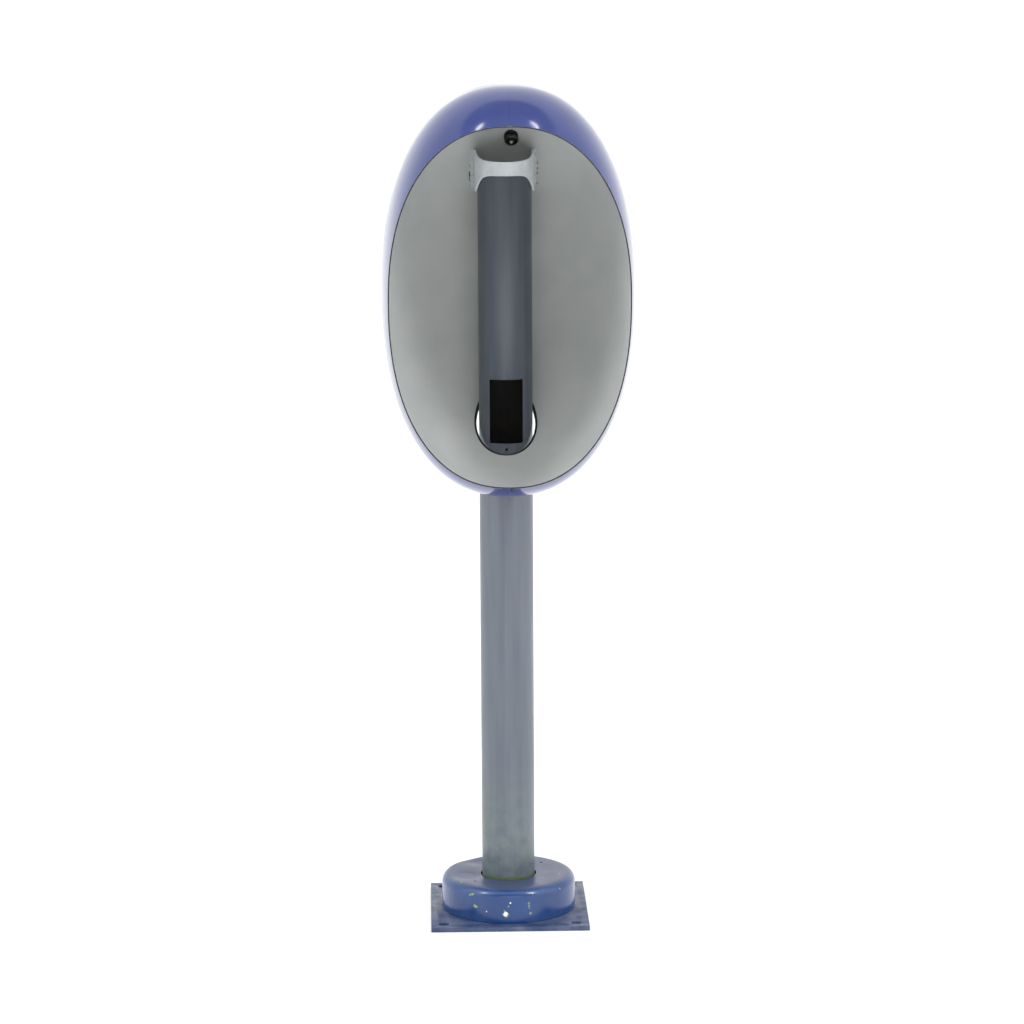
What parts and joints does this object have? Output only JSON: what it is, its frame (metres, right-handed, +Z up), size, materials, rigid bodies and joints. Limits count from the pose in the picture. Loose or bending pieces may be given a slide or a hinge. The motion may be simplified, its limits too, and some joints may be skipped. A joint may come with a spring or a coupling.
{
  "type": "open pedestal hood",
  "caption": "Open egg-shaped fibreglass hood on a round steel post with a square base plate and a round foot cover that slides up the post.",
  "frame": {"origin": "on the floor, on the axis of the post, at the centre of the anchor holes", "axes": "+Z up along the post, +X to the right of someone facing the open side, -Y out of the hood's opening"},
  "size_m": [0.518, 0.6384, 1.808],
  "materials": {
    "blue_gelcoat": "polished blue gelcoat on glass fibre, light grey on the inner face",
    "grey_gelcoat": "hand-laid glass fibre with light grey topcoat",
    "blue_paint_cover": "worn glossy blue enamel",
    "blue_paint_plate": "worn blue enamel",
    "grey_paint": "blue-grey paint, lightly stained",
    "bare_steel": "primed weld-on steel",
    "zinc": "zinc plated",
    "black_rubber": "matt black",
    "black_plastic": "moulded black nylon",
    "white_plastic": "moulded off-white nylon"
  },
  "bodies": {
    "stand": {"base_plate": "blue_paint_plate", "gussets": "bare_steel", "post_foot_weld": "bare_steel", "cover_tabs": "bare_steel", "post": "grey_paint", "post_cap": "black_plastic", "rivet_nuts": "zinc", "rear_spacers": "zinc", "rear_washers": "zinc", "rear_bolts": "zinc", "hood_shell": "blue_gelcoat", "rim_trim_left": "black_rubber", "rim_trim_right": "black_rubber", "floor_hole_trim": "black_rubber", "saddle": "grey_gelcoat", "saddle_bond_left": "grey_gelcoat", "saddle_bond_right": "grey_gelcoat", "gland_body": "black_plastic", "gland_washer": "black_rubber", "gland_lock_nut": "black_plastic", "gland_seal": "black_rubber", "gland_plug": "white_plastic", "gland_dome_nut": "black_plastic"},
    "foot_cover": {"base_cover": "blue_paint_cover"}
  },
  "joints": [
    {"name": "foot_cover_lift", "type": "slide", "parent": "stand", "child": "foot_cover", "axis": [0, 0, 1], "range_m": [0, 0.85]}
  ]
}
